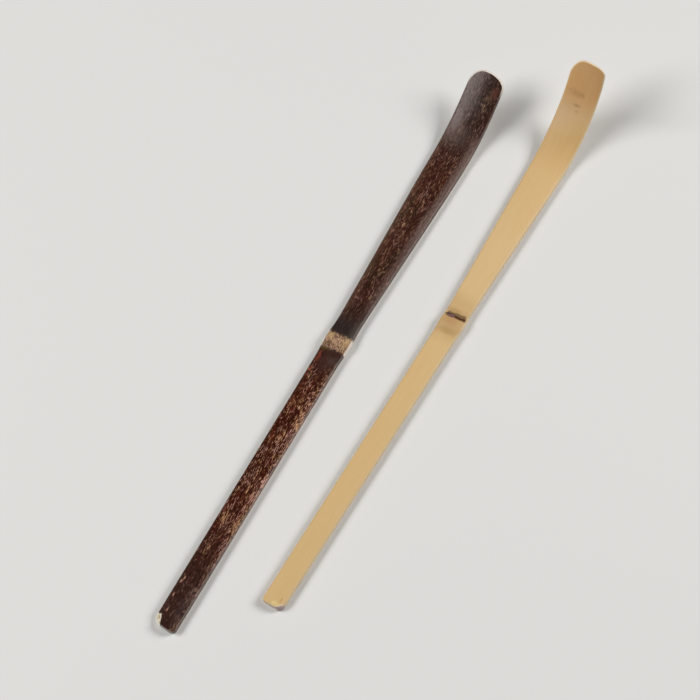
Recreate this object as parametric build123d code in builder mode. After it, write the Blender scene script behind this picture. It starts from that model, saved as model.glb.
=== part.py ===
from build123d import *
from math import asin, cos, degrees, radians, sin, sqrt
import os

# A pair of bamboo tea scoops that lie side by side on a table, skin side up. Each is one
# split of a bamboo culm, carved to its outline and bent over heat so that the tip turns up.
# Sizes are in millimetres and degrees. Along a scoop, x runs from the foot to the tip, y is
# to the left and z is up from the table.

# What both scoops share
culm_radius = 25.0
thickness = 2.2
tip_thickness = 1.2
tip_corner_radius = 4.0
foot_corner_radius = 1.2
under_bevel = 0.4
scar_width = 0.8
scar_depth = 0.2
ridge_fairing = 30.0
bowl_fairing = 600.0

# Dark scoop
dark_shaft_length = 154.4
dark_bend_radius = 33.0
dark_bend_angle = 32.5
dark_tip_length = 9.1
dark_foot_width = 6.3
dark_waist_width = 6.4
dark_bowl_width = 9.7
dark_bowl_offset = -3.0
dark_scar_at = 89.5
dark_ridge_offset = 3.5
dark_ridge_length = 7.0
dark_ridge_height = 0.35
dark_ridge_swell = 0.3
dark_bow = -0.2

# Pale scoop
pale_shaft_length = 145.9
pale_bend_radius = 25.0
pale_bend_angle = 73.0
pale_tip_length = 2.7
pale_foot_width = 5.8
pale_waist_width = 6.3
pale_bowl_width = 9.9
pale_bowl_offset = 7.1
pale_scar_at = 95.9
pale_ridge_offset = -2.4
pale_ridge_length = 4.8
pale_ridge_height = 0.3
pale_ridge_swell = 0.15
pale_bow = 0.65

# How the two lie: the pale foot ahead of the dark one and to its right, turned a little outwards
foot_lead = 18.3
foot_spacing = 21.0
pale_lean = 1.28

# How far cutting shapes reach past the wood
overcut = 2.0


def bend_run(bend_angle):
    """Direction of the tip after the bend, as a run forwards and a rise."""
    return cos(radians(bend_angle)), sin(radians(bend_angle))


def skin_tip(shaft_length, bend_radius, bend_angle, tip_length):
    """Where the skin ends at the tip: its distance from the foot and its height."""
    run, rise = bend_run(bend_angle)
    ahead = shaft_length + bend_radius * rise + tip_length * run
    height = thickness + bend_radius * (1 - run) + tip_length * rise
    return ahead, height


def carve_scoop(base, shaft_length, bend_radius, bend_angle, tip_length, foot_width, waist_width,
                bowl_width, bowl_offset, scar_at, ridge_offset, ridge_length, ridge_height,
                ridge_swell, bow):
    """Carves a scoop whose foot stands at the base plane's origin, with its shaft along x there."""
    run, rise = bend_run(bend_angle)
    tip_x, tip_z = skin_tip(shaft_length, bend_radius, bend_angle, tip_length)
    ridge_at = scar_at + ridge_offset
    blank_half = bowl_width / 2 + overcut
    blank_edge = thickness - culm_radius + sqrt(culm_radius ** 2 - blank_half ** 2)
    node_spread = degrees(asin(blank_half / culm_radius))

    side = Plane(base.origin, x_dir=base.x_dir, z_dir=-base.y_dir)
    section = Plane(base.origin, x_dir=base.y_dir, z_dir=base.x_dir)
    culm_axis = Axis(base.from_local_coords((0, 0, thickness - culm_radius)), base.x_dir)
    culm_wall = Plane(culm_axis.position, x_dir=base.x_dir,
                      z_dir=side.z_dir.rotate(Axis((0, 0, 0), base.x_dir), -node_spread))

    def outline(hand):
        """Corners of one long side seen from above: hand is 1 on the left and -1 on the right."""
        waist = waist_width / 2
        bowl_start = shaft_length + bowl_offset
        far_x = tip_x + bowl_width
        stations = ((0, foot_width / 2), (ridge_at - ridge_length, waist), (ridge_at, waist + ridge_swell),
                    (ridge_at + ridge_length, waist), (bowl_start, bowl_width / 2), (far_x, bowl_width / 2))
        corners = []
        for x, half in stations:
            bowed = x / scar_at if x < scar_at else (tip_x - x) / (tip_x - scar_at)
            corners.append((x, hand * half - bow * bowed))
        return corners

    with BuildPart() as scoop:
        # The split of the culm, bent along its skin line
        with BuildLine(side):
            shaft = Line((0, thickness), (shaft_length, thickness))
            bend = JernArc(shaft @ 1, shaft % 1, bend_radius, bend_angle)
            Line(bend @ 1, bend @ 1 + tip_length * (bend % 1))
        with BuildSketch(section):
            with BuildLine():
                crown = ThreePointArc((blank_half, blank_edge), (0, thickness), (-blank_half, blank_edge))
                Polyline(crown @ 1, (-blank_half, -overcut), (blank_half, -overcut), crown @ 0)
            make_face()
        sweep()

        # The node: a low ridge round the culm, and the groove that the fallen sheath left
        with BuildSketch(culm_wall):
            with BuildLine():
                ridge = ThreePointArc((ridge_at - ridge_length / 2, culm_radius),
                                      (ridge_at, culm_radius + ridge_height),
                                      (ridge_at + ridge_length / 2, culm_radius))
                Polyline(ridge @ 1, (ridge_at, culm_radius - thickness), ridge @ 0)
            make_face()
        revolve(axis=culm_axis, revolution_arc=2 * node_spread)
        with BuildSketch(culm_wall):
            with BuildLine():
                Polyline((scar_at - scar_width / 2, culm_radius + scar_depth),
                         (scar_at, culm_radius - scar_depth),
                         (scar_at + scar_width / 2, culm_radius + scar_depth), close=True)
            make_face()
        revolve(axis=culm_axis, revolution_arc=2 * node_spread, mode=Mode.SUBTRACT)

        # The planed back: flat on the table, then thinned along the bend to the tip
        with BuildSketch(side):
            with BuildLine():
                sole = Line((-overcut, 0), (shaft_length, 0))
                back_tip = (tip_x + tip_thickness * rise, tip_z - tip_thickness * run)
                back = TangentArc(sole @ 1, back_tip, tangent=sole % 1)
                past = Line(back @ 1, back @ 1 + overcut * (back % 1))
                Polyline(past @ 1, (tip_x + tip_z, tip_z), (tip_x + tip_z, -2 * overcut),
                         (-overcut, -2 * overcut), sole @ 0)
            make_face()
        extrude(amount=2 * blank_half, both=True, mode=Mode.SUBTRACT)

        # The outline seen from above: narrow handle, swollen node, widening to the bowl
        fairings = (ridge_fairing, ridge_fairing, ridge_fairing, bowl_fairing)
        with BuildSketch(base.offset(-overcut)):
            with BuildLine():
                left = FilletPolyline(*outline(1), radius=fairings)
                right = FilletPolyline(*outline(-1), radius=fairings)
                Line(left @ 0, right @ 0)
                Line(left @ 1, right @ 1)
            make_face()
        extrude(amount=tip_z + 2 * overcut, mode=Mode.INTERSECT)

        # Rounded corners at the tip and at the foot
        tip_axis = Axis(side.from_local_coords((tip_x, tip_z, 0)), base.x_dir * run + base.z_dir * rise)
        tip_end = scoop.faces().sort_by(tip_axis)[-1]
        fillet(tip_end.edges().sort_by(SortBy.LENGTH)[:2], tip_corner_radius)
        foot_end = scoop.faces().sort_by(Axis(base.origin, base.x_dir))[0]
        fillet(foot_end.edges().sort_by(SortBy.LENGTH)[:2], foot_corner_radius)

        # The bevel along the back's edges, which runs on round the tip
        back_face = scoop.faces().filter_by(GeomType.PLANE).sort_by(Axis.Z)[0]
        chamfer(back_face.edges().sort_by(Axis(base.origin, base.x_dir))[:-1], under_bevel)
    return scoop


# The box round the pair is centred on the origin, with the table at z = 0
pale_tip_x = skin_tip(pale_shaft_length, pale_bend_radius, pale_bend_angle, pale_tip_length)[0]
pair_length = foot_lead + pale_tip_x + tip_thickness * bend_run(pale_bend_angle)[1]
pair_left = dark_bowl_width / 2
pair_right = foot_spacing + pale_tip_x * sin(radians(pale_lean)) + pale_bowl_width / 2
dark_foot = (-pair_length / 2, (pair_right - pair_left) / 2, 0)
pale_foot = (dark_foot[0] + foot_lead, dark_foot[1] - foot_spacing, 0)
pale_heading = (cos(radians(pale_lean)), -sin(radians(pale_lean)), 0)

dark_scoop = carve_scoop(
    Plane(dark_foot), dark_shaft_length, dark_bend_radius, dark_bend_angle, dark_tip_length,
    dark_foot_width, dark_waist_width, dark_bowl_width, dark_bowl_offset, dark_scar_at,
    dark_ridge_offset, dark_ridge_length, dark_ridge_height, dark_ridge_swell, dark_bow)
dark_scoop.part.label = "dark_scoop"

pale_scoop = carve_scoop(
    Plane(pale_foot, x_dir=pale_heading), pale_shaft_length, pale_bend_radius, pale_bend_angle,
    pale_tip_length, pale_foot_width, pale_waist_width, pale_bowl_width, pale_bowl_offset,
    pale_scar_at, pale_ridge_offset, pale_ridge_length, pale_ridge_height, pale_ridge_swell, pale_bow)
pale_scoop.part.label = "pale_scoop"

os.makedirs("parts", exist_ok=True)
export_step(dark_scoop.part, "parts/dark_scoop.step")
export_step(pale_scoop.part, "parts/pale_scoop.step")

for scoop in (dark_scoop, pale_scoop):
    box = scoop.part.bounding_box()
    print(scoop.part.label, "volume", round(scoop.part.volume, 1), "from", box.min, "to", box.max)
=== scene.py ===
# %% [markdown]
# A pair of bamboo tea scoops
#
# A tea scoop of this kind is one split of a bamboo culm. The maker cuts a straight blank, pares it to
# its outline, bends the tip up over heat, and leaves the culm's own skin showing on top. This lesson
# makes two of them in the same order: a dark, speckled one and a pale one. The measured model is loaded
# first. It is never moved, and every new piece is made to lie where its plain solid lies.

# %% Load the measured model
import math
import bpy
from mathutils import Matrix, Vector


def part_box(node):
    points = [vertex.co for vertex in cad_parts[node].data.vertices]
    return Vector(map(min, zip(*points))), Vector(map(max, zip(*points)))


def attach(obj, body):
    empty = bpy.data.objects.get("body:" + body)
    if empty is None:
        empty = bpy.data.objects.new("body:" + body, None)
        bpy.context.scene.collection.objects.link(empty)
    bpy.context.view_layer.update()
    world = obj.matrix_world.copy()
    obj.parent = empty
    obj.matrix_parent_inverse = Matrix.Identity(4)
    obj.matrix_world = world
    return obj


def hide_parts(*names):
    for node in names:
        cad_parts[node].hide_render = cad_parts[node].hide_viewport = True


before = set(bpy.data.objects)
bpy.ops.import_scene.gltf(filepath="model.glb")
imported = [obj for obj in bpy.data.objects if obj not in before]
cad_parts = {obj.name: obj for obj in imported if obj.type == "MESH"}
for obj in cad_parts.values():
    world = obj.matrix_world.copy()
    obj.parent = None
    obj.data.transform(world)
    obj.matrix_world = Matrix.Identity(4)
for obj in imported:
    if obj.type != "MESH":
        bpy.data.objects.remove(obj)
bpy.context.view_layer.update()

from types import SimpleNamespace

import bmesh
import bpy
from mathutils import Vector, noise

mm = 0.001

# %% [markdown]
# The camera
#
# The picture is taken from above the feet, looking along the scoops, with a long lens, so that the sides
# of the handles stay almost parallel. The camera could be turned by hand until it looks right. Here it
# is worked out from five readings instead: the point that it looks at, the compass heading, the height
# above the horizon, the distance, and how many pixels one millimetre takes in the middle of the picture.

# %% Place the camera
view_target = Vector((-1.97, 9.02, 0.0)) * mm
view_heading = math.radians(28.24)
view_elevation = math.radians(62.0)
view_distance = 1.0
picture_width = 700
pixels_per_mm = 3.81
sensor_width = 36.0
nearest_seen = 0.01
farthest_seen = 20.0

toward = Vector((math.cos(view_heading) * math.cos(view_elevation),
                 math.sin(view_heading) * math.cos(view_elevation),
                 -math.sin(view_elevation)))
camera_data = bpy.data.cameras.new("camera")
camera_data.sensor_width = sensor_width
camera_data.lens = sensor_width * pixels_per_mm * view_distance / mm / picture_width
camera_data.clip_start = nearest_seen
camera_data.clip_end = farthest_seen
camera = bpy.data.objects.new("camera", camera_data)
camera.location = view_target - toward * view_distance
camera.rotation_euler = toward.to_track_quat("-Z", "Y").to_euler()
bpy.context.scene.collection.objects.link(camera)
bpy.context.scene.camera = camera
print("camera with a lens of", round(camera_data.lens, 1), "mm at", tuple(camera.location))

# %% [markdown]
# The sizes of the two scoops
#
# Both scoops are made in the same way, so one set of functions carves them, and each scoop only has its
# own sizes, in millimetres and degrees. Places are distances along the skin from the foot, and to the
# left of the middle. A corner is written as three numbers: how far it reaches along the scoop, how far
# across, and how full it is. A fullness of 1 is a straight knife cut, 2 is round. The fairing is how far
# the widening of the handle is rounded off on either side of the bowl's start. The bow is how far the
# node lies to the right of a straight line from foot to tip, and the sway how far the tip turns to the
# left. The rim is how far the skin stays back from the edge of the tip, where the knife has left a pale
# line.

# %% Sizes
culm_radius = 25.0
thickness = 2.2
pared_width = 0.32
pared_drop = 0.32
under_bevel = 0.4
bowl_fairing = 9.6

dark = SimpleNamespace(
    name="dark_bamboo_scoop", node="dark_scoop", body="dark", slot="dark_bamboo",
    shaft_length=154.4, bend_radius=33.0, bend_angle=32.5, tip_length=9.15, tip_thickness=1.0, rim=0.16,
    foot_width=6.6, waist_width=6.7, bowl_width=10.1, bowl_start=151.4,
    scar_at=89.5, scar_width=0.8, scar_depth=0.2,
    ridge_at=93.0, ridge_length=7.0, ridge_height=0.35, ridge_swell=0.3, bow=-0.08, tip_sway=0.0,
    foot_left=(1.3, 2.1, 1.15), foot_right=(1.1, 1.7, 1.6),
    tip_left=(4.2, 3.8, 2.0), tip_right=(3.1, 4.9, 1.8),
    foot_skew=0.16, foot_undercut=(0.45, 0.45),
    chip_from=(0.0, 0.95), chip_to=(2.8, 2.05), chip_slope=0.5,
    foot_y=12.54, lean=0.0)

pale = SimpleNamespace(
    name="pale_bamboo_scoop", node="pale_scoop", body="pale", slot="pale_bamboo",
    shaft_length=145.9, bend_radius=25.0, bend_angle=73.0, tip_length=2.9, tip_thickness=0.7, rim=0.0,
    foot_width=6.15, waist_width=6.5, bowl_width=9.95, bowl_start=153.0,
    scar_at=95.9, scar_width=0.8, scar_depth=0.2,
    ridge_at=93.5, ridge_length=4.8, ridge_height=0.3, ridge_swell=0.15, bow=0.65, tip_sway=0.3,
    foot_left=(1.4, 1.0, 2.0), foot_right=(1.2, 1.1, 1.3),
    tip_left=(7.0, 4.3, 1.9), tip_right=(2.6, 4.4, 2.0),
    foot_skew=0.0, foot_undercut=(0.6, 0.0),
    chip_from=(1.8, -2.95), chip_to=(0.1, -1.1), chip_slope=0.9,
    foot_y=-8.45, lean=1.28)

print("sizes for", dark.name, "and", pale.name)

# %% [markdown]
# The outline
#
# Seen from above, a scoop is narrow along the handle, swells a little at the node, and widens to the
# bowl. The outline could be traced as one long polygon, but then the mesh inside it would be a single
# face that can't be bent. So it is written as two curves, the left and the right edge, each a distance
# to the side for a distance along the skin. A pair of points at the same distance is one rung of a
# ladder, and the ladder bends.

# %% Outline of a blank
def skin_length(scoop):
    return scoop.shaft_length + scoop.bend_radius * math.radians(scoop.bend_angle) + scoop.tip_length


def plan_distance(scoop, along):
    """How far ahead of the foot a place on the skin lies once the tip is bent."""
    past = max(0.0, along - scoop.shaft_length)
    turned = min(past / scoop.bend_radius, math.radians(scoop.bend_angle))
    straight = max(0.0, past - scoop.bend_radius * turned)
    bent = scoop.bend_radius * math.sin(turned) + straight * math.cos(turned)
    return min(along, scoop.shaft_length) + bent


def hump(distance, reach):
    """A smooth hump: 1 in its middle, 0 from its reach on."""
    return 0.5 + 0.5 * math.cos(math.pi * min(1.0, abs(distance) / reach))


def half_width(scoop, x):
    """Half the width at a distance ahead of the foot, without the corners."""
    waist = scoop.waist_width / 2
    bowl = scoop.bowl_width / 2
    ridge_start = scoop.ridge_at - scoop.ridge_length
    ridge_end = scoop.ridge_at + scoop.ridge_length
    if x < ridge_start:
        foot = scoop.foot_width / 2
        return foot + (waist - foot) * x / ridge_start
    if x < ridge_end:
        return waist + scoop.ridge_swell * hump(x - scoop.ridge_at, scoop.ridge_length)
    slope = (bowl - waist) / (scoop.bowl_start - ridge_end)
    if x < scoop.bowl_start - bowl_fairing:
        return waist + slope * (x - ridge_end)
    left_to_go = max(0.0, scoop.bowl_start + bowl_fairing - x)
    return bowl - slope * left_to_go ** 2 / (4 * bowl_fairing)


def middle(scoop, along):
    """Where the centre line lies: the blank is bowed a little to one side at its node."""
    x = plan_distance(scoop, along)
    tip_x = plan_distance(scoop, skin_length(scoop))
    bowed = x / scoop.scar_at if x < scoop.scar_at else (tip_x - x) / (tip_x - scoop.scar_at)
    sway = max(0.0, (along - scoop.shaft_length) / (skin_length(scoop) - scoop.shaft_length))
    return scoop.tip_sway * sway ** 2 - scoop.bow * bowed


def corner_cut(distance, corner):
    """How much a corner takes off the width at a distance from the end."""
    reach, across, fullness = corner
    if distance >= reach:
        return 0.0
    share = 1 - max(0.0, distance) / reach
    return across * (1 - (1 - share ** fullness) ** (1 / fullness))


def edges_at(scoop, along):
    """The left and the right edge, as distances to the left of the foot's middle."""
    half = half_width(scoop, plan_distance(scoop, along))
    to_tip = skin_length(scoop) - along
    left = half - corner_cut(along, scoop.foot_left) - corner_cut(to_tip, scoop.tip_left)
    right = half - corner_cut(along, scoop.foot_right) - corner_cut(to_tip, scoop.tip_right)
    return middle(scoop, along) + left, middle(scoop, along) - right


for scoop in (dark, pale):
    left, right = edges_at(scoop, scoop.scar_at)
    print(scoop.name, "has a skin", round(skin_length(scoop), 1), "mm long")
    print("and is", round(left - right, 2), "mm wide at its node")

# %% [markdown]
# Where the rungs go
#
# Rungs can stand far apart where nothing happens and have to be close where something does. An even
# spacing would be simpler, but one that is fine enough for the node takes four times as many. So they
# stand 1.5 mm apart along the plain handle, 0.2 mm apart over the node with its ridge and groove, and
# 1 mm apart in the bend. At both ends they follow a quarter of a circle, seen at even turns, so that they
# crowd together towards the end and the corners come out round.

# %% Rungs of a blank
plain_step = 1.5
node_step = 0.2
bend_step = 1.0
node_reach = 9.0
foot_rounding = 2.0
foot_turn = 10
tip_reach = 7.2
tip_turn = 6


def evenly(start, end, step):
    """Places from start up to, but without, the end, about one step apart."""
    count = max(1, round((end - start) / step))
    return [start + (end - start) * i / count for i in range(count)]


def rounded(reach, turns):
    """Distances from an end, up to its reach, that crowd together towards the end."""
    return [reach * (1 - math.cos(math.radians(turn))) for turn in turns]


def rung_places(scoop):
    length = skin_length(scoop)
    node_start = scoop.scar_at - node_reach
    node_end = scoop.scar_at + node_reach
    places = rounded(foot_rounding, range(0, 90, foot_turn))
    places += evenly(foot_rounding, node_start, plain_step)
    places += evenly(node_start, node_end, node_step)
    places += evenly(node_end, scoop.shaft_length, plain_step)
    places += evenly(scoop.shaft_length, length - tip_reach, bend_step)
    places += [length - distance for distance in rounded(tip_reach, range(90, -1, -tip_turn))]
    return places


print("rungs", len(rung_places(dark)), "and", len(rung_places(pale)))

# %% [markdown]
# The straight blank
#
# The blank starts as a plane, the first piece of the ladder. Its far edge is extruded from rung to rung
# and resized to the width there, the way a strip is drawn out by hand. The sheet is then extruded
# downwards to a slab. An inset on the top face, raised a little, leaves the thin pared edge that the
# knife makes all round the skin, and the same is done below. A Bevel modifier could make these edges
# too, but an inset keeps the rungs in order. While a blank lies on the bench, one unit is a millimetre,
# which the operators handle better than thousandths.

# %% Draw and pare a blank
tiny = 0.001
columns = 16


def select_where(blank, test, kind="verts"):
    """In edit mode, selects the vertices or edges that pass a test, and the faces between them."""
    bpy.ops.mesh.select_all(action="DESELECT")
    shape = bmesh.from_edit_mesh(blank.data)
    for element in getattr(shape, kind):
        element.select = test(element)
    shape.select_flush_mode()
    bmesh.update_edit_mesh(blank.data)


def draw_outline(scoop):
    """Draws the sheet from foot to tip, and leaves it in edit mode."""
    places = rung_places(scoop)
    level = thickness - pared_drop
    left, right = edges_at(scoop, 0.0)
    bpy.ops.object.select_all(action="DESELECT")
    bpy.ops.mesh.primitive_plane_add(size=1.0)
    blank = bpy.context.object
    blank.name = scoop.name
    blank.data.name = scoop.name
    bpy.ops.object.mode_set(mode="EDIT")
    bpy.ops.transform.resize(value=(places[1], left - right, 1.0), center_override=(0, 0, 0))
    bpy.ops.transform.translate(value=(places[1] / 2, (left + right) / 2, level))
    select_where(blank, lambda vertex: vertex.co.x > places[1] / 2)
    for before, here in zip(places, places[1:]):
        was_left, was_right = edges_at(scoop, before)
        left, right = edges_at(scoop, here)
        if here != places[1]:
            bpy.ops.mesh.extrude_region_move(TRANSFORM_OT_translate={"value": (here - before, 0, 0)})
        bpy.ops.transform.translate(value=(0, (left + right - was_left - was_right) / 2, 0))
        bpy.ops.transform.resize(value=(1, (left - right) / (was_left - was_right), 1),
                                 center_override=(here, (left + right) / 2, level))
    return blank


def pare_edges(blank):
    """Gives the sheet its thickness, and pares the edges of the back and then of the skin."""
    bpy.ops.mesh.select_all(action="SELECT")
    wall = thickness - pared_drop - under_bevel
    bpy.ops.mesh.extrude_region_move(TRANSFORM_OT_translate={"value": (0, 0, -wall)})
    bpy.ops.mesh.select_all(action="SELECT")
    bpy.ops.mesh.normals_make_consistent(inside=False)
    select_where(blank, lambda vertex: vertex.co.z < under_bevel + tiny)
    bpy.ops.mesh.inset(thickness=under_bevel, depth=under_bevel, use_even_offset=True)
    select_where(blank, lambda vertex: vertex.co.z > thickness - pared_drop - tiny)
    bpy.ops.mesh.inset(thickness=pared_width, depth=pared_drop, use_even_offset=True)


def part_skin_from_flesh(scoop, blank):
    """Gives the skin, which the last inset has left selected, one material and the rest another."""
    blank.data.materials.append(bpy.data.materials.new(scoop.slot + "_skin"))
    blank.data.materials.append(bpy.data.materials.new(scoop.slot + "_flesh"))
    shape = bmesh.from_edit_mesh(blank.data)
    for face in shape.faces:
        face.material_index = 0 if face.select else 1


def divide_across(scoop, blank):
    """Divides every rung, above and below, into columns."""

    def crosses_middle(edge):
        first, second = [vertex.co.y - middle(scoop, vertex.co.x) for vertex in edge.verts]
        return first * second < 0

    bpy.ops.mesh.select_mode(type="EDGE")
    select_where(blank, crosses_middle, kind="edges")
    bpy.ops.mesh.subdivide(number_cuts=columns - 1)
    bpy.ops.mesh.select_mode(type="VERT")


blanks = {}
for scoop in (dark, pale):
    blank = draw_outline(scoop)
    pare_edges(blank)
    part_skin_from_flesh(scoop, blank)
    divide_across(scoop, blank)
    bpy.ops.object.mode_set(mode="OBJECT")
    blanks[scoop.name] = blank
    print(scoop.name, "blank with", len(blank.data.polygons), "faces")

# %% [markdown]
# The feet
#
# The foot is cut off by hand, so its end is a little askew, and one corner of each foot has lost its
# skin. A bisect could cut the end aslant, but it would leave odd faces. So the rungs at the foot are
# only shifted: by the skew, which is how far the cut runs ahead for each millimetre to the left of its
# pivot, and by the undercut, which is how far it runs ahead at the back, on the left side and on the
# right. The chip has an edge from one place to another, and beyond that edge the skin falls away at the
# chip's slope.

# %% The cut and the chip of a foot
foot_reach = 3.1
foot_pivot = 0.75


def foot_shift(scoop, side, depth):
    """How far the knife's slanting cut moves a place at the very end of the foot."""
    left, right = scoop.foot_undercut
    to_left = 0.5 + side / scoop.foot_width
    undercut = right + (left - right) * to_left
    return scoop.foot_skew * (side - foot_pivot) + undercut * depth / thickness


def chip_edge(scoop):
    """The chip's edge, as three factors: per length along, per length to the left, and a base."""
    start = Vector(scoop.chip_from)
    edge = (Vector(scoop.chip_to) - start).normalized()
    return -edge.y, edge.x, edge.y * start.x - edge.x * start.y


def chip_depth(scoop, along, side):
    per_along, per_side, base = chip_edge(scoop)
    beyond = min(per_along * along + per_side * side + base, foot_reach - along)
    return scoop.chip_slope * max(0.0, beyond)


for scoop in (dark, pale):
    corner_side = math.copysign(scoop.foot_width / 2, scoop.chip_to[1])
    print(scoop.name, "has a chip", round(chip_depth(scoop, 0.0, corner_side), 2), "mm deep at its corner")

# %% [markdown]
# The skin's relief
#
# The top of a split is part of the round culm, so it is crowned. Across the node runs the groove that
# the fallen sheath left, and beside it a low ridge. A modifier could push these forms up with a texture,
# but they are exact shapes, so each vertex of the upper half is moved by a formula. Below, the knife has
# left the back with shallow hollows a few millimetres long, and towards the tip the wood is pared thin.
#
# Before anything is bent, every vertex also notes where it lies in the straight wood, in an attribute
# called grain. The finishes read it later, so that the fibres run round the bend as they do in real
# bamboo.

# %% Carve the relief and note the grain
hollow_depth = 0.04
hollow_length = 9.0
hollow_width = 2.0


def rise_of(scoop, along):
    """How far the node stands above the plain skin: a rounded ridge, and the groove beside it."""
    ridge = scoop.ridge_height * hump(along - scoop.ridge_at, scoop.ridge_length / 2)
    groove = scoop.scar_depth * hump(along - scoop.scar_at, scoop.scar_width / 2)
    return ridge - groove


def thickness_at(scoop, along):
    """The wood thins smoothly from the middle of the bend to the tip."""
    thin_start = scoop.shaft_length + 0.5 * scoop.bend_radius * math.radians(scoop.bend_angle)
    share = min(1.0, max(0.0, (along - thin_start) / (skin_length(scoop) - thin_start)))
    return thickness - (thickness - scoop.tip_thickness) * share * share * (3 - 2 * share)


def drawn_back(scoop, along):
    """How far the skin stays back from the edge near the tip."""
    return scoop.rim * max(0.0, 1 - (skin_length(scoop) - along) / tip_reach)


def carve_relief(scoop, blank):
    grain = blank.data.attributes.new("grain", "FLOAT_VECTOR", "POINT")
    for vertex, note in zip(blank.data.vertices, grain.data):
        along = vertex.co.x
        side = vertex.co.y - middle(scoop, along)
        upper = vertex.co.z > thickness / 2
        skin_level = vertex.co.z > thickness - tiny
        depth = (thickness - vertex.co.z) * thickness_at(scoop, along) / thickness
        if upper:
            depth += culm_radius - math.sqrt(culm_radius ** 2 - side ** 2) - rise_of(scoop, along)
            depth += chip_depth(scoop, along, side)
        elif vertex.co.z < tiny:
            hollow = noise.noise(Vector((along / hollow_length, side / hollow_width, scoop.scar_at)))
            depth -= hollow_depth * max(0.0, hollow)
        vertex.co.z = thickness - depth
        vertex.co.x += foot_shift(scoop, side, depth) * max(0.0, 1 - along / foot_reach)
        if skin_level:
            back = drawn_back(scoop, along)
            vertex.co.x -= back
            vertex.co.y -= back * side / (scoop.bowl_width / 2)
        note.vector = (along, side, vertex.co.z)


for scoop in (dark, pale):
    carve_relief(scoop, blanks[scoop.name])
    heights = [vertex.co.z for vertex in blanks[scoop.name].data.vertices]
    print(scoop.name, "carved from", round(min(heights), 2), "to", round(max(heights), 2), "mm up")

# %% [markdown]
# Bending the tip
#
# The maker warms the blank over embers and bends it a little at a time. The same is done here: at each
# rung of the bend, everything beyond it is turned by a small angle about that rung's place on the skin.
# A Simple Deform modifier would bend it in one go, but it bends about the object's middle plane, and
# here the skin is the line that keeps its length. One level of subdivision, applied at the end, rounds
# the facets.

# %% Bend, place and smooth
crease_angle = math.radians(40)


def select_beyond(blank, along):
    """Selects what lies further along the straight wood than a place, wherever it has been bent to."""
    shape = bmesh.from_edit_mesh(blank.data)
    grain = shape.verts.layers.float_vector["grain"]
    select_where(blank, lambda vertex: vertex[grain].x > along + tiny)


def bend_over_heat(scoop, blank):
    full_turn = math.radians(scoop.bend_angle)
    steps = round(scoop.bend_radius * full_turn / bend_step)
    run = scoop.bend_radius * full_turn / steps
    hinge = Vector((scoop.shaft_length + run / 2, 0, thickness))
    for step in range(steps):
        select_beyond(blank, scoop.shaft_length + run * (step + 0.5))
        bpy.ops.transform.rotate(value=full_turn / steps, orient_axis="Y", center_override=hinge)
        turned = full_turn * (step + 1) / steps
        hinge += run * Vector((math.cos(turned), 0, math.sin(turned)))


def lay_in_place(scoop):
    """Brings the finished scoop from millimetres to metres and turns it to its place on the table."""
    foot = Vector((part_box(scoop.node)[0].x, scoop.foot_y * mm, 0))
    bpy.ops.mesh.select_all(action="SELECT")
    bpy.ops.transform.resize(value=(mm, mm, mm), center_override=(0, 0, 0))
    bpy.ops.transform.rotate(value=math.radians(scoop.lean), orient_axis="Z", center_override=(0, 0, 0))
    bpy.ops.transform.translate(value=foot)


for scoop in (dark, pale):
    blank = blanks[scoop.name]
    bpy.ops.object.select_all(action="DESELECT")
    blank.select_set(True)
    bpy.context.view_layer.objects.active = blank
    bpy.ops.object.mode_set(mode="EDIT")
    bend_over_heat(scoop, blank)
    lay_in_place(scoop)
    bpy.ops.mesh.select_all(action="SELECT")
    bpy.ops.mesh.normals_make_consistent(inside=False)
    bpy.ops.object.mode_set(mode="OBJECT")
    smooth = blank.modifiers.new("smooth", "SUBSURF")
    smooth.levels = 1
    smooth.render_levels = 1
    bpy.ops.object.modifier_apply(modifier=smooth.name)
    bpy.ops.object.shade_smooth_by_angle(angle=crease_angle)
    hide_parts(scoop.node)
    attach(blank, scoop.body)
    solid_low, solid_high = [tuple(corner / mm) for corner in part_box(scoop.node)]
    print("and its solid from", solid_low, "to", solid_high, "mm")

# %% [markdown]
# Short words for shader nodes
#
# A finish is a small network of nodes. Wiring each one by hand takes many lines, so a helper gives the
# few kinds of node that bamboo needs a short name: noise for fibres and mottling, a soft step between
# two places, a soft spot, and a mix of two colours. Colours are written as 0 to 255, as they are read
# off a screen, and turned into the linear values that the shader works with. All patterns read the grain
# attribute, in millimetres.

# %% Shader helper
def paint(red, green, blue):
    """A colour as it looks on a screen, as linear values."""
    shares = [channel / 255 for channel in (red, green, blue)]
    linear = [share / 12.92 if share < 0.04045 else ((share + 0.055) / 1.055) ** 2.4 for share in shares]
    return (*linear, 1.0)


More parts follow.
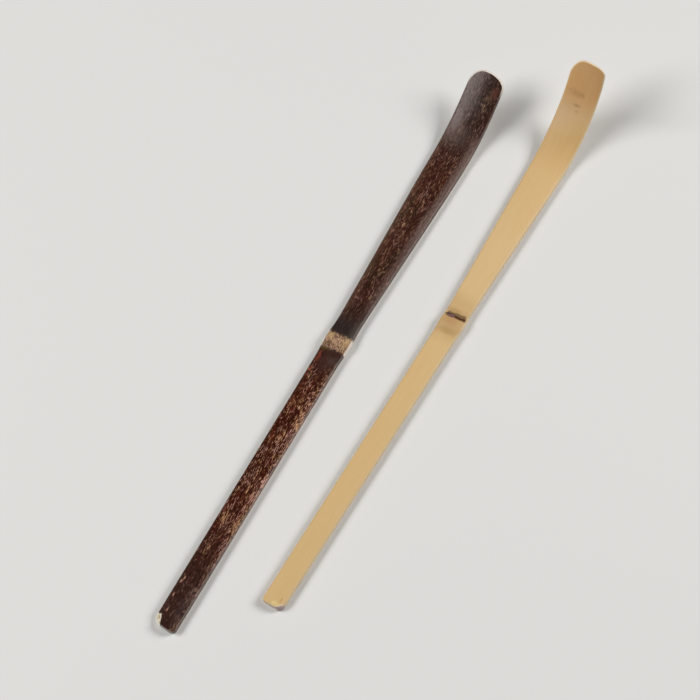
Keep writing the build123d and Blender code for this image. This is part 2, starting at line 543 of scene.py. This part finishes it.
class Finish:
    """The node tree of one material. Most methods add nodes and return the last one's output."""

    any_height = 100
    chip_border = 0.12

    def __init__(self, material):
        material.use_nodes = True
        self.tree = material.node_tree
        self.shader = self.tree.nodes["Principled BSDF"]
        self.grain = self.node("ShaderNodeAttribute", {}, attribute_name="grain").outputs["Vector"]
        split = self.node("ShaderNodeSeparateXYZ", {0: self.grain})
        self.along, self.side, self.height = split.outputs

    def node(self, kind, inputs, **settings):
        """Adds one node with its settings, and feeds its inputs."""
        added = self.tree.nodes.new(kind)
        for setting, value in settings.items():
            setattr(added, setting, value)
        for socket, value in inputs.items():
            self.feed(added.inputs[socket], value)
        return added

    def feed(self, socket, value):
        """Links a socket to another node's output, or sets it to a plain value."""
        if isinstance(value, bpy.types.NodeSocket):
            self.tree.links.new(value, socket)
        else:
            socket.default_value = value

    def math(self, operation, first, second=0.0):
        return self.node("ShaderNodeMath", {0: first, 1: second}, operation=operation).outputs[0]

    def scaled(self, value, factor, base=0.0):
        """A value times a factor, plus a base."""
        inputs = {0: value, 1: factor, 2: base}
        return self.node("ShaderNodeMath", inputs, operation="MULTIPLY_ADD").outputs[0]

    def both(self, *masks):
        """Where all the masks are."""
        product = masks[0]
        for mask in masks[1:]:
            product = self.math("MULTIPLY", product, mask)
        return product

    def either(self, first, second):
        """Where one mask or the other is."""
        return self.math("MAXIMUM", first, second)

    def step(self, value, start, end):
        """Rises softly from 0 at start to 1 at end, or falls where end is the smaller."""
        inputs = {"Value": value, "From Min": start, "From Max": end}
        return self.node("ShaderNodeMapRange", inputs, interpolation_type="SMOOTHSTEP").outputs["Result"]

    def grade(self, value, start, end, low, high):
        """Goes evenly from low at start to high at end."""
        inputs = {"Value": value, "From Min": start, "From Max": end, "To Min": low, "To Max": high}
        return self.node("ShaderNodeMapRange", inputs).outputs["Result"]

    def between(self, value, start, end, soft):
        """1 between start and end, with soft ends."""
        risen = self.step(value, start - soft, start + soft)
        not_fallen = self.step(value, end + soft, end - soft)
        return self.both(risen, not_fallen)

    def stretched(self, lengthwise, across):
        """The place in the grain, counted in features of this length and width."""
        sizes = (lengthwise, across, across)
        return self.node("ShaderNodeVectorMath", {0: self.grain, 1: sizes}, operation="DIVIDE").outputs[0]

    def noise(self, lengthwise, across, detail=3.0, roughness=0.55):
        """Cloudy noise around 0.5, with features of this length and width."""
        place = self.stretched(lengthwise, across)
        inputs = {"Vector": place, "Scale": 1.0, "Detail": detail, "Roughness": roughness}
        return self.node("ShaderNodeTexNoise", inputs).outputs["Fac"]

    def cells(self, lengthwise, across):
        """How far it is to the middle of the nearest cell, for cells of this length and width."""
        inputs = {"Vector": self.stretched(lengthwise, across), "Scale": 1.0}
        return self.node("ShaderNodeTexVoronoi", inputs).outputs["Distance"]

    def wandering(self, value, lengthwise, across, reach):
        """A place that noise pushes to and fro by up to about this reach."""
        push = self.scaled(self.noise(lengthwise, across), 4 * reach, -2 * reach)
        return self.math("ADD", value, push)

    def spot(self, along, side, reach_along, reach_side, uneven=0.3):
        """A soft spot on the skin, at any height: 1 in its middle, 0 at its more or less uneven border."""
        centre = (along, side, 0)
        reach = (reach_along, reach_side, self.any_height)
        offset = self.node("ShaderNodeVectorMath", {0: self.grain, 1: centre}, operation="SUBTRACT")
        share = self.node("ShaderNodeVectorMath", {0: offset.outputs[0], 1: reach}, operation="DIVIDE")
        far = self.node("ShaderNodeVectorMath", {0: share.outputs[0]}, operation="LENGTH")
        return self.step(self.wandering(far.outputs["Value"], 1.2, 0.5, uneven), 1.0, 0.2)

    def chip(self, scoop, margin=0.0):
        """Where the skin has come off a corner of the foot, with a margin round it."""
        per_along, per_side, base = chip_edge(scoop)
        beyond = self.scaled(self.side, per_side, self.scaled(self.along, per_along, base))
        beyond = self.math("MINIMUM", beyond, self.scaled(self.along, -1.0, foot_reach))
        return self.step(self.wandering(beyond, 0.9, 0.5, 0.1), -margin, self.chip_border - margin)

    def mix(self, share, first, second):
        """The first colour where the share is 0, the second where it is 1."""
        return self.node("ShaderNodeMix", {0: share, 6: first, 7: second}, data_type="RGBA").outputs[2]

    def faint(self, share, strength, first, second):
        """As mix, but at most this strong."""
        return self.mix(self.math("MULTIPLY", share, strength), first, second)

    def ramp(self, stops):
        """A number or colour that changes along the culm. Each stop is a place and what it has there."""
        longest = stops[-1][0]
        added = self.node("ShaderNodeValToRGB", {0: self.math("DIVIDE", self.along, longest)})
        elements = added.color_ramp.elements
        elements[1].position = 1.0
        for place, value in stops[1:-1]:
            elements.new(place / longest)
        for element, (place, value) in zip(elements, stops):
            element.color = value if isinstance(value, tuple) else (value, value, value, 1.0)
        return added.outputs["Color"]

    def finish(self, colour, roughness, bump, depth):
        """Wires the finish up. Depth is how far the bump reaches, in millimetres."""
        self.feed(self.shader.inputs["Base Color"], colour)
        self.feed(self.shader.inputs["Roughness"], roughness)
        relief = self.node("ShaderNodeBump", {"Height": bump, "Strength": 1.0, "Distance": depth * mm})
        self.feed(self.shader.inputs["Normal"], relief.outputs["Normal"])


print("helper ready; a mid grey of 128 is", round(paint(128, 128, 128)[0], 3), "in linear light")

# %% [markdown]
# The dark skin: ground and flecks
#
# This bamboo has a dark skin mottled from charcoal to red brown and covered with fine flecks, tan and
# dull gold, drawn out along the culm. It could be painted as an image, but a picture has one scale and
# no depth. Here it is grown from noise that is long one way and narrow the other: a coarse one for the
# mottling, a finer one whose peaks are flecks and whose pits are dark. How red it is and how thickly the
# flecks stand follow the culm: few near the foot and the node, most between them.

# %% Dark skin, ground and flecks
dark_redness = ((0, 0.15), (18, 0.28), (34, 0.9), (76, 1.0), (84, 0.6), (90, 0.1), (101, 0.0), (108, 0.45),
                (150, 0.5), (160, 0.2), (182, 0.1))
dark_crowding = ((0, 0.0), (20, 0.1), (36, 0.3), (68, 0.3), (78, 0.12), (84, 0.0), (100, 0.0), (106, 0.2),
                 (152, 0.2), (164, 0.15), (182, 0.1))
olive_stretch = (108, 150)


def dark_grain(skin):
    """The three noises of the dark skin: wide zones, fine flecks, long fibres."""
    zone = skin.noise(7.0, 1.6)
    fleck = skin.noise(1.15, 0.16, detail=3.0, roughness=0.62)
    fibre = skin.noise(9.0, 0.18, detail=4.0, roughness=0.6)
    return zone, fleck, fibre


def speckled_ground(skin, zone, fleck, fibre):
    """The mottled ground with its flecks, which stand thicker on the right edge below the node."""
    redness = skin.ramp(dark_redness)
    right_edge = skin.both(skin.step(skin.side, -0.6, -2.8), skin.step(skin.along, 92, 84))
    crowding = skin.math("ADD", skin.ramp(dark_crowding), skin.scaled(right_edge, 0.5))
    crowding = skin.math("ADD", crowding, skin.scaled(zone, 2.4, -1.2))
    deep = skin.mix(redness, paint(22, 8, 5), paint(24, 2, 0))
    middle_tone = skin.mix(redness, paint(52, 32, 26), paint(56, 18, 5))
    pinkish = skin.mix(redness, paint(126, 100, 93), paint(216, 165, 145))
    golden = skin.mix(redness, paint(124, 99, 82), paint(212, 160, 117))
    colour = skin.mix(skin.step(fleck, 0.38, 0.52), deep, middle_tone)
    fibre_tone = skin.mix(redness, paint(94, 70, 60), paint(126, 66, 38))
    colour = skin.faint(skin.step(fibre, 0.5, 0.7), 0.3, colour, fibre_tone)
    blush = skin.both(skin.step(skin.noise(3.0, 0.8), 0.54, 0.7), redness)
    colour = skin.faint(blush, 0.4, colour, paint(106, 36, 22))
    clouds = skin.step(skin.noise(10.0, 2.2), 0.48, 0.62)
    olive = skin.both(clouds, skin.between(skin.along, *olive_stretch, 6))
    colour = skin.faint(olive, 0.7, colour, paint(34, 24, 13))
    light = skin.mix(skin.step(skin.noise(5.0, 1.2), 0.42, 0.58), pinkish, golden)
    raised = skin.step(skin.scaled(crowding, 0.12, fleck), 0.585, 0.715)
    return skin.mix(raised, colour, light)


thickest = max(dark_crowding, key=lambda stop: stop[1])[0]
print("the flecks of", dark.name, "stand thickest from", thickest, "mm on")

# %% [markdown]
# The dark skin: the bare node
#
# The node is a band of bare bamboo, pinkish in the middle and straw-coloured towards the edges, with
# brown specks and a ragged border to the dark skin above. Below it a dark line marks the groove that the
# sheath left. The band could be a separate strip with its own material, but then its border would be the
# mesh's. Here it is a mask: two soft steps along the culm, at places that noise pushes to and fro.

# %% Dark skin, node
bare_from = 89.95
bare_to = 94.8
clearest = (91.8, 93.8)
scar_half = 0.4


def bare_node(skin, colour):
    speck = skin.noise(0.7, 0.26)
    right = skin.step(skin.side, 0.5, -1.5)
    low = skin.scaled(right, -0.1, skin.wandering(skin.along, 1.2, 0.5, 0.35))
    top = skin.wandering(skin.along, 1.4, 0.3, 0.6)
    above_low = skin.step(low, bare_from - 0.25, bare_from + 0.25)
    below_top = skin.step(top, bare_to + 0.5, bare_to - 0.5)
    straw = skin.either(skin.spot(93.2, -2.3, 2.6, 1.6), skin.spot(93.6, 2.4, 1.8, 1.5))
    clean = skin.faint(straw, 0.9, paint(184, 149, 121), paint(186, 155, 112))
    clear = skin.either(straw, skin.scaled(skin.between(skin.along, *clearest, 0.7), 0.6))
    specks = skin.both(skin.step(speck, 0.4, 0.6), skin.scaled(clear, -0.55, 1.0))
    bare = skin.mix(specks, clean, paint(84, 57, 40))
    bare = skin.faint(skin.step(skin.along, 91.8, 90.2), 0.3, bare, paint(104, 78, 56))
    bare = skin.faint(skin.spot(91.6, 1.7, 0.8, 0.8), 0.8, bare, paint(84, 58, 34))
    colour = skin.mix(skin.both(above_low, below_top), colour, bare)
    left = skin.step(skin.side, -0.8, 1.6)
    scar = skin.between(low, dark.scar_at - scar_half, dark.scar_at + scar_half, 0.2)
    scar_colour = skin.mix(left, paint(66, 44, 36), paint(82, 58, 12))
    return skin.mix(skin.both(scar, skin.scaled(left, 0.5, 0.4)), colour, scar_colour)


print("the bare band runs from about", bare_from, "to", bare_to, "mm")

# %% [markdown]
# The dark skin: the upper handle and the bowl
#
# Just above the node the skin is charred, and the charred part is painted greyer towards its right edge,
# a painted sheen. Along the upper handle it carries fine dots. Its edges carry painted sheen: a grey
# strip on the right, which grows towards the bowl, and a fainter one on the left. On the bowl a lighter
# grey haze across the start of the bend and a grey bloom on its left half, where it turns to the light,
# are painted sheen, with a painted highlight in the bloom. The strips could be laid at fixed distances
# from the middle, but the edges of the handle aren't parallel. The half width is graded along the handle
# instead, and the strips read how far it is to the edge.

# %% Dark skin, upper handle and bowl
charred = (93, 100)
upper_handle = (102, 164)
widening_from = 100
sheen_haze_stretch = (160, 166)


def upper_handle_marks(skin, colour, fleck):
    charcoal = skin.between(skin.along, *charred, 2.5)
    # Painted sheen: the charred part turns greyer towards the right edge, where it catches the light.
    charred_and_sheen = skin.mix(skin.step(skin.side, -1.0, -2.8), paint(46, 38, 36), paint(76, 68, 62))
    colour = skin.faint(charcoal, 0.8, colour, charred_and_sheen)
    half = skin.grade(skin.along, widening_from, dark.bowl_start, dark.waist_width / 2, dark.bowl_width / 2)
    to_right = skin.math("ADD", half, skin.side)
    to_left = skin.math("SUBTRACT", half, skin.side)
    upper = skin.between(skin.along, *upper_handle, 5)
    dots = skin.step(skin.noise(0.6, 0.22, detail=1.0), 0.62, 0.7)
    colour = skin.faint(skin.both(dots, upper), 0.55, colour, paint(124, 88, 70))
    growing = skin.grade(skin.along, 104, 142, 0.35, 0.95)
    pits = skin.step(fleck, 0.52, 0.4)
    # Painted sheen: a grey strip along the right edge, growing towards the bowl.
    right_edge_sheen = skin.both(skin.step(to_right, 2.8, 1.0), upper, growing, skin.scaled(pits, -0.6, 1.0))
    colour = skin.mix(right_edge_sheen, colour, paint(112, 90, 83))
    # Painted sheen: a fainter strip along the left edge.
    left_edge_sheen = skin.both(skin.step(to_left, 2.6, 0.3), upper)
    return skin.faint(left_edge_sheen, 0.3, colour, paint(116, 86, 70))


def bowl_flecks_and_sheen(skin, colour, fleck):
    bowl = skin.step(skin.along, 156, 166)
    colour = skin.faint(skin.both(bowl, skin.step(fleck, 0.56, 0.68)), 0.6, colour, paint(142, 113, 104))
    colour = skin.faint(skin.both(bowl, skin.step(fleck, 0.46, 0.34)), 0.5, colour, paint(34, 22, 19))
    # Painted sheen: a lighter grey haze across the start of the bend.
    haze_sheen = skin.both(skin.between(skin.along, *sheen_haze_stretch, 2.5), skin.step(skin.side, -4.0, 0.0))
    colour = skin.faint(haze_sheen, 0.4, colour, paint(94, 79, 74))
    # Painted sheen: a grey bloom on the left half of the bowl, where it turns to the light.
    streaked = skin.wandering(skin.side, 14.0, 0.35, 1.2)
    left_sheen = skin.both(skin.step(skin.along, 159, 164), skin.step(streaked, -0.8, 3.5))
    left_sheen = skin.both(left_sheen, skin.scaled(skin.step(fleck, 0.36, 0.6), 0.8, 0.2))
    colour = skin.faint(left_sheen, 0.7, colour, paint(121, 100, 94))
    # Painted highlight: the brightest place of that sheen.
    return skin.faint(skin.spot(167.0, 3.3, 4.5, 1.8), 0.4, colour, paint(140, 126, 121))


# The grey strips up to the end of the upper handle are painted sheen.
print("charred from about", charred[0], "to", charred[1], "mm, rubbed up to", upper_handle[1], "mm")

# %% [markdown]
# The dark skin: wear
#
# Below the node the skin is worn smooth. Warm patches lie where the maker's fire reached: on the left
# edge just below the node, and on the right of the bent tip. Flakes on the left edge and a chip at the
# foot's corner show paler wood. They could be painted by hand in texture paint mode, but that needs an
# image. Each is a soft spot at its own place instead, mixed over what is there already. Last, all layers
# of the dark skin are put on each other, and its fibres and flecks also give it a slight relief and an
# uneven gloss.

# %% Dark skin, wear, and all its layers
edge_flakes = ((4.8, 1.5), (9.3, 2.2), (13.4, 2.3), (14.6, 1.9))
warm_spots = ((86.8, 2.3, 2.4, 0.9), (82.3, 2.6, 1.2, 0.6), (80.5, 2.75, 1.0, 0.5))


def worn_marks(skin, colour, fleck):
    smooth_place = skin.spot(85.8, -0.7, 5.2, 3.8)
    colour = skin.faint(smooth_place, 0.8, colour, paint(64, 41, 34))
    colour = skin.faint(skin.spot(86.9, -2.0, 1.8, 2.4), 0.4, colour, paint(78, 64, 60))
    for warm_spot in warm_spots:
        warm = skin.both(skin.spot(*warm_spot), skin.step(fleck, 0.4, 0.62))
        colour = skin.faint(warm, 0.85, colour, paint(156, 76, 56))
    golden = skin.both(skin.spot(175.0, -2.6, 4.5, 1.8), skin.step(fleck, 0.45, 0.6))
    colour = skin.faint(golden, 0.5, colour, paint(118, 90, 62))
    colour = skin.faint(skin.spot(177.6, -3.4, 2.8, 1.2), 0.45, colour, paint(112, 66, 56))
    colour = skin.faint(skin.spot(7.5, -1.9, 9.0, 2.2), 0.3, colour, paint(76, 62, 62))
    for along, side in edge_flakes:
        colour = skin.faint(skin.spot(along, side, 0.8, 0.3), 0.8, colour, paint(186, 140, 118))
    wood = skin.mix(skin.step(skin.noise(1.0, 0.4), 0.4, 0.6), paint(232, 222, 206), paint(176, 162, 124))
    return skin.mix(skin.chip(dark), colour, wood)


def dark_skin(material):
    skin = Finish(material)
    zone, fleck, fibre = dark_grain(skin)
    colour = speckled_ground(skin, zone, fleck, fibre)
    colour = upper_handle_marks(skin, colour, fleck)
    colour = bowl_flecks_and_sheen(skin, colour, fleck)
    colour = bare_node(skin, colour)
    colour = worn_marks(skin, colour, fleck)
    relief = skin.math("ADD", skin.scaled(fibre, 0.5), skin.scaled(fleck, 0.5))
    skin.shader.inputs["Specular IOR Level"].default_value = 0.2
    skin.finish(colour, skin.scaled(fleck, 0.4, 0.14), relief, 0.05)


dark_skin(bpy.data.materials["dark_bamboo_skin"])
print("dark skin with", len(bpy.data.materials["dark_bamboo_skin"].node_tree.nodes), "nodes")

# %% [markdown]
# The pale skin: ground
#
# The pale scoop's skin is smooth and straw-coloured, almost without marks. One flat colour would look
# like plastic, so it changes slowly along the culm, from straw at the foot to a browner tone where the
# heat of bending has toasted it, and faint fibres run the whole length. A colour ramp that reads the
# distance along the culm gives the slow change, and noise that is drawn out lengthwise gives the fibres.

# %% Pale skin, ground
pale_tone = ((0, paint(205, 174, 121)), (80, paint(211, 178, 126)), (118, paint(215, 183, 133)),
             (145, paint(211, 178, 125)), (157, paint(198, 161, 104)), (164, paint(206, 171, 124)),
             (170, paint(206, 159, 104)), (180, paint(207, 160, 104)))


def straw_ground(skin, fibre):
    patches = skin.noise(16.0, 3.0)
    grit = skin.noise(1.6, 0.3, detail=2.0)
    colour = skin.ramp(pale_tone)
    colour = skin.faint(skin.step(patches, 0.35, 0.75), 0.3, colour, paint(214, 174, 126))
    colour = skin.faint(skin.step(fibre, 0.45, 0.75), 0.25, colour, paint(190, 154, 100))
    colour = skin.faint(skin.step(fibre, 0.45, 0.25), 0.2, colour, paint(226, 198, 150))
    return skin.faint(skin.step(grit, 0.66, 0.74), 0.25, colour, paint(182, 144, 96))


print("straw tones at", [place for place, tone in pale_tone], "mm")

# %% [markdown]
# The pale skin: the line at the node
#
# What makes it this scoop are its few marks. The largest is the broken line in the groove of the node:
# thick and purplish with a dark crest on the left, thin and brown on the right, with a brown smudge below
# it. Painted shade lies round it: a darker band over the groove and the ridge, and darker spots on the
# ridge's slopes below the line and just above it. One dark stripe would look drawn on. The real line is
# several strands of different tones, so each strand is a soft band along the culm that is cut off by a
# soft band across it, and all of them follow one line that wanders a little and slants.

# %% Pale skin, node
line_slant = 0.08
toasted = (88.4, 102.0)
# Painted shade: a darker band over the groove and the ridge, and spots on the ridge's slopes.
shadowed = (90.2, 97.5)
ridge_shade_spots = ((91.0, -0.3, 1.6, 3.6), (97.2, 0.8, 1.2, 2.6))
smudge_and_shade_border = 0.06


def strand(skin, place, at, half, from_side, to_side, soft=0.18):
    """One strand of the broken line: where it lies along, half its width, and its ends across."""
    lying = skin.between(place, at - half, at + half, soft)
    return skin.both(lying, skin.between(skin.side, from_side, to_side, 0.3))


def broken_line(skin, colour):
    place = skin.scaled(skin.side, line_slant, skin.wandering(skin.along, 2.4, 0.9, 0.2))
    colour = skin.faint(skin.between(skin.along, *toasted, 2.4), 0.5, colour, paint(192, 156, 108))
    # Painted shade: a darker band over the groove and the ridge.
    colour = skin.faint(skin.between(place, *shadowed, 1.2), 0.5, colour, paint(184, 150, 102))
    colour = skin.faint(skin.spot(94.0, 0.4, 2.2, 3.0, smudge_and_shade_border), 0.45, colour, paint(176, 128, 88))
    # Painted shade on the ridge's slopes, below the line and just above it.
    for shade_spot in ridge_shade_spots:
        colour = skin.faint(skin.spot(*shade_spot, smudge_and_shade_border), 0.45, colour, paint(164, 130, 80))
    ground = strand(skin, place, 95.9, 0.85, -2.8, 2.4, 0.35)
    colour = skin.faint(ground, 0.75, colour, paint(122, 88, 56))
    upper = strand(skin, place, 96.4, 0.22, -2.4, 2.2)
    colour = skin.faint(upper, 0.6, colour, paint(92, 68, 34))
    lower = strand(skin, place, 95.58, 0.42, -3.0, 0.9)
    colour = skin.faint(lower, 0.92, colour, paint(70, 40, 18))
    stained = skin.mix(skin.step(skin.noise(0.9, 0.7), 0.42, 0.55), paint(124, 94, 92), paint(72, 38, 40))
    body = strand(skin, place, 95.62, 0.55, 0.2, 2.5)
    colour = skin.faint(body, 0.9, colour, stained)
    crest = strand(skin, place, 96.15, 0.16, 0.5, 2.4)
    colour = skin.faint(crest, 0.75, colour, paint(66, 44, 40))
    tail = strand(skin, place, 95.8, 0.25, 2.2, 3.4)
    return skin.faint(tail, 0.9, colour, paint(66, 60, 30))


print("the broken line lies in the groove at", pale.scar_at, "mm")

# %% [markdown]
# The pale skin: bowl and foot
#
# Small stains lie in the bowl. At the foot a splinter has lifted beside a painted highlight, a bright
# spot where raised fibres catch the light. The chip has a painted highlight along its edge, and its bare
# wood is painted grey lavender, a painted shade. They are soft spots again, each with its own strength.
# The skin is polished, so its fibres give the gloss most of its unevenness and only a trace of relief.

# %% Pale skin, marks, and all its layers
bowl_stains = ((169.8, 1.4, 1.6, 3.0, 0.25), (169.9, -0.7, 1.0, 1.0, 0.2), (166.6, 0.2, 0.7, 1.4, 0.45),
               (165.0, -0.6, 0.7, 0.9, 0.28))
# A margin round the chip, painted as a highlight.
highlight_margin = 0.2


def few_marks(skin, colour):
    for *stain, strength in bowl_stains:
        colour = skin.faint(skin.spot(*stain), strength, colour, paint(140, 104, 62))
    splinter = skin.spot(2.5, -1.55, 1.2, 0.4)
    colour = skin.faint(splinter, 0.5, colour, paint(176, 128, 64))
    # Painted highlight: a bright spot where raised fibres catch the light.
    painted_glint = skin.spot(0.9, -0.6, 0.8, 1.3, 0.6)
    colour = skin.faint(painted_glint, 0.5, colour, paint(232, 208, 142))
    # Painted highlight: a light line round the chip's edge.
    colour = skin.faint(skin.chip(pale, highlight_margin), 0.6, colour, paint(240, 228, 200))
    # The chip's bare wood is painted grey lavender: painted shade.
    return skin.mix(skin.chip(pale), colour, paint(184, 164, 158))


def pale_skin(material):
    skin = Finish(material)
    fibre = skin.noise(12.0, 0.22, detail=4.0, roughness=0.65)
    colour = straw_ground(skin, fibre)
    colour = broken_line(skin, colour)
    colour = few_marks(skin, colour)
    skin.shader.inputs["Specular IOR Level"].default_value = 0.3
    skin.finish(colour, skin.scaled(fibre, 0.3, 0.32), fibre, 0.03)


pale_skin(bpy.data.materials["pale_bamboo_skin"])
print("pale skin with", len(bpy.data.materials["pale_bamboo_skin"].node_tree.nodes), "nodes")

# %% [markdown]
# The cut wood
#
# Where the knife has cut, bamboo shows cream-coloured flesh with brown fibre bundles. The bundles run
# along the culm, so they are dots on an end and long lines on a side or on the back, and they crowd
# together under the skin. Three materials could do that, but one network does it too: cells that are
# very long along the grain and as round as fibres across it. Higher up, the long sides are darker: grey
# brown on the dark scoop, but bare at its node, and a darker straw on the pale one, partly painted shade.
# The rim of the tip is freshly pared and pale. The end of each foot is darker and greyer, partly a stain
# in the end grain and partly painted shade, and the pale foot's chip is painted grey lavender, a painted
# shade.

# %% Cut wood
bundle_length = 60.0
bundle_width = 0.42
fresh_at_tip = 2.5
darker_from_tip = 6.0
stain_and_shade_border = 0.2
bare_wall_from = dark.ridge_at - 3.1
bare_wall_to = dark.ridge_at + 1.9


def cut_wood(wood, scoop, cream, fibre_colour, side_tone, side_share, end_stain_and_shade, end_height, chip_wood_and_shade):
    patches = wood.noise(20.0, 2.0)
    fine = wood.noise(9.0, 0.12)
    crowding = wood.scaled(wood.step(wood.height, 0.0, thickness), 0.5, 0.35)
    bundle = wood.both(wood.step(wood.cells(bundle_length, bundle_width), 0.34, 0.16), crowding)
    colour = wood.faint(wood.step(patches, 0.3, 0.7), 0.3, cream, paint(216, 190, 150))
    colour = wood.faint(wood.step(fine, 0.45, 0.75), 0.35, colour, fibre_colour)
    colour = wood.mix(bundle, colour, fibre_colour)
    length = skin_length(scoop)
    past_foot = wood.step(wood.along, 0.1, 0.6)
    before_tip = wood.step(wood.along, length - fresh_at_tip, length - darker_from_tip)
    upper = wood.step(wood.height, 0.45, 0.8)
    # The long sides higher up take the darker side tone.
    colour = wood.mix(wood.both(past_foot, before_tip, upper, side_share), colour, side_tone)
    at_foot = wood.step(wood.along, 0.6, 0.1)
    # The foot's end painted darker and greyer: partly a stain in the end grain, partly painted shade.
    end = wood.both(at_foot, wood.step(wood.height, end_height + stain_and_shade_border, end_height))
    colour = wood.faint(end, 0.85, colour, end_stain_and_shade)
    colour = wood.mix(wood.chip(scoop), colour, chip_wood_and_shade)
    relief = wood.math("SUBTRACT", wood.scaled(fine, 0.4), wood.scaled(bundle, 0.6))
    wood.finish(colour, wood.scaled(fine, 0.3, 0.42), relief, 0.03)


dark_wood = Finish(bpy.data.materials["dark_bamboo_flesh"])
# The dark scoop's sides: grey brown with flecks.
grey_brown_sides = dark_wood.mix(0.3, speckled_ground(dark_wood, *dark_grain(dark_wood)), paint(110, 88, 78))
wall_place = dark_wood.wandering(dark_wood.along, 0.8, 0.4, 0.25)
bare_wall = dark_wood.between(wall_place, bare_wall_from, bare_wall_to, 0.3)
cut_wood(dark_wood, dark, cream=paint(230, 222, 214), fibre_colour=paint(150, 118, 86),
         side_tone=grey_brown_sides, side_share=dark_wood.scaled(bare_wall, -0.95, 0.95),
         end_stain_and_shade=paint(112, 106, 98), end_height=2.2, chip_wood_and_shade=paint(226, 218, 206))

pale_wood = Finish(bpy.data.materials["pale_bamboo_flesh"])
# The pale foot's end, olive on the left and grey lavender towards the chip: partly stain, partly painted
# shade.
to_chip = pale_wood.step(pale_wood.side, 0.2, -1.0)
stained_and_shaded_end = pale_wood.mix(to_chip, paint(164, 132, 82), paint(176, 156, 152))
# The pale scoop's darker sides are partly painted shade, and its chip's grey lavender is painted shade.
cut_wood(pale_wood, pale, cream=paint(236, 216, 182), fibre_colour=paint(190, 156, 112),
         side_tone=paint(202, 175, 130), side_share=0.8,
         end_stain_and_shade=stained_and_shaded_end, end_height=1.8, chip_wood_and_shade=paint(176, 156, 152))
print("cut wood with", len(dark_wood.tree.nodes), "and", len(pale_wood.tree.nodes), "nodes")

# %% [markdown]
# Floor and light
#
# The scoops lie on a plain pale floor under two large soft boxes: one ahead of the tips on the right,
# which lights the handles, and one on the left, near the camera, whose reflection shows as a satin sheen
# on the bent tips. A single sun would be simpler, but its hard shadows would hide the thin edges. The
# sky is a soft gradient, pale at the horizon and darker overhead, so that dark skin isn't veiled by it.

# %% Floor, lamps and sky
floor_size = 6.0
floor_height = -0.00002
floor_colour = (0.72, 0.71, 0.69, 1)
floor_roughness = 0.9
horizon_up_to = 0.05
overhead_from = 0.6
horizon_light = 0.7
overhead_light = 0.08


def soft_box(name, direction, distance, width, depth, watts):
    """A wide lamp that stands off in a direction and shines back at the middle of the table."""
    lamp = bpy.data.lights.new(name, "AREA")
    lamp.shape = "RECTANGLE"
    lamp.size = width
    lamp.size_y = depth
    lamp.energy = watts
    holder = bpy.data.objects.new(name, lamp)
    holder.location = Vector(direction).normalized() * distance
    holder.rotation_euler = (-holder.location).to_track_quat("-Z", "Y").to_euler()
    bpy.context.scene.collection.objects.link(holder)


bpy.ops.object.select_all(action="DESELECT")
bpy.ops.mesh.primitive_plane_add(size=floor_size, location=(0, 0, floor_height))
floor = bpy.context.object
floor.name = "floor"
floor_paint = bpy.data.materials.new("floor")
floor_paint.use_nodes = True
floor_shader = floor_paint.node_tree.nodes["Principled BSDF"]
floor_shader.inputs["Base Color"].default_value = floor_colour
floor_shader.inputs["Roughness"].default_value = floor_roughness
floor.data.materials.append(floor_paint)

soft_box("right_box", direction=(0.50, -0.62, 0.60), distance=1.3, width=0.6, depth=0.6, watts=14.0)
soft_box("left_box", direction=(-0.40, 0.62, 0.68), distance=1.3, width=0.8, depth=0.5, watts=14.0)

world = bpy.data.worlds.new("studio")
world.use_nodes = True
bpy.context.scene.world = world
sky = world.node_tree
looking = sky.nodes.new("ShaderNodeTexCoord")
split = sky.nodes.new("ShaderNodeSeparateXYZ")
sky.links.new(looking.outputs["Generated"], split.inputs[0])
gradient = sky.nodes.new("ShaderNodeMapRange")
gradient.inputs["From Min"].default_value = horizon_up_to
gradient.inputs["From Max"].default_value = overhead_from
gradient.inputs["To Min"].default_value = horizon_light
gradient.inputs["To Max"].default_value = overhead_light
sky.links.new(split.outputs["Z"], gradient.inputs["Value"])
sky.links.new(gradient.outputs["Result"], sky.nodes["Background"].inputs["Strength"])
bpy.context.scene.view_settings.view_transform = "Standard"
print("a floor", floor_size, "m wide, two soft boxes and a sky")
